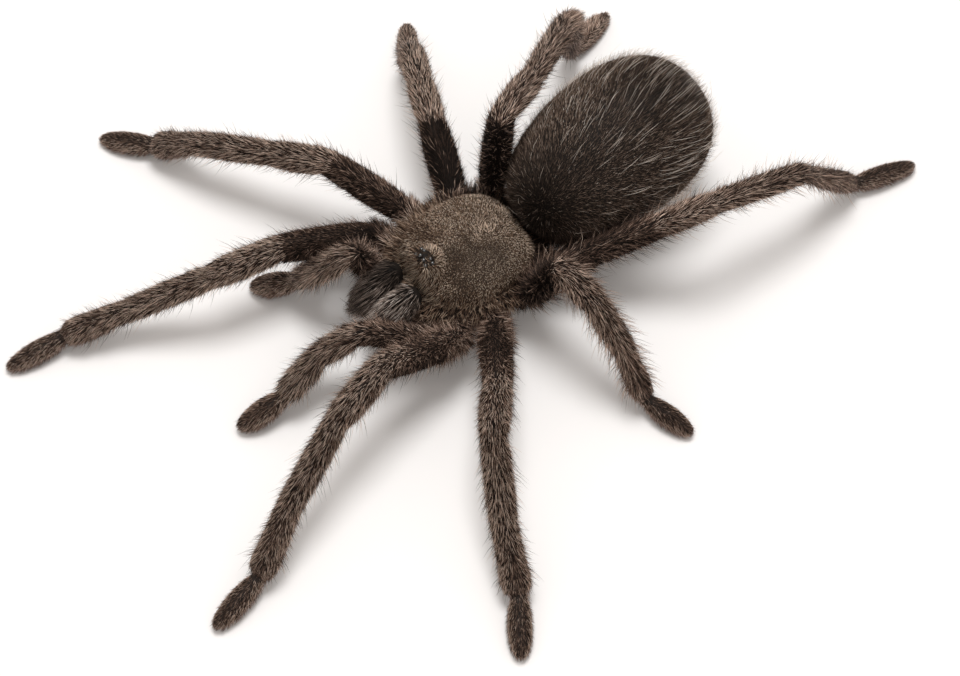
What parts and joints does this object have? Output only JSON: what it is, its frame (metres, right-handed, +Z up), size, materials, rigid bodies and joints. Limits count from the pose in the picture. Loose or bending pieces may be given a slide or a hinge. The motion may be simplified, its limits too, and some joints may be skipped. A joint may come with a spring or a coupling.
{
  "type": "tarantula specimen",
  "caption": "Dry tarantula standing on its own feet with its limbs spread, for display.",
  "frame": {"origin": "below the middle of the whole animal, on the surface it stands on", "axes": "+Z up, the animal faces -Y, and its left side is at +X"},
  "size_m": [0.1148, 0.1401, 0.0267],
  "materials": {
    "carapace": "velvety short brown hair",
    "sternum": "short black-brown hair",
    "labium": "short black-brown hair",
    "pedicel": "short black-brown hair",
    "chelicera_left": "long grey-brown hair",
    "chelicera_right": "long grey-brown hair",
    "fang_left": "glossy black horn",
    "fang_right": "glossy black horn",
    "pedipalp_left": "brown hair with pale tips",
    "pedipalp_right": "brown hair with pale tips",
    "leg_1_left": "brown hair with pale tips",
    "leg_1_right": "brown hair with pale tips",
    "leg_2_left": "brown hair with pale tips",
    "leg_2_right": "brown hair with pale tips",
    "leg_3_left": "brown hair with pale tips",
    "leg_3_right": "brown hair with pale tips",
    "leg_4_left": "brown hair with pale tips",
    "leg_4_right": "brown hair with pale tips",
    "abdomen": "black-brown hair with long pale hairs",
    "spinneret_left": "short black-brown hair",
    "spinneret_right": "short black-brown hair"
  },
  "bodies": {
    "root": {"carapace": "carapace", "sternum": "sternum", "labium": "labium", "pedicel": "pedicel", "chelicera_left": "chelicera_left", "chelicera_right": "chelicera_right", "fang_left": "fang_left", "fang_right": "fang_right", "pedipalp_left": "pedipalp_left", "pedipalp_right": "pedipalp_right", "leg_1_left": "leg_1_left", "leg_1_right": "leg_1_right", "leg_2_left": "leg_2_left", "leg_2_right": "leg_2_right", "leg_3_left": "leg_3_left", "leg_3_right": "leg_3_right", "leg_4_left": "leg_4_left", "leg_4_right": "leg_4_right", "abdomen": "abdomen", "spinneret_left": "spinneret_left", "spinneret_right": "spinneret_right"}
  },
  "joints": []
}
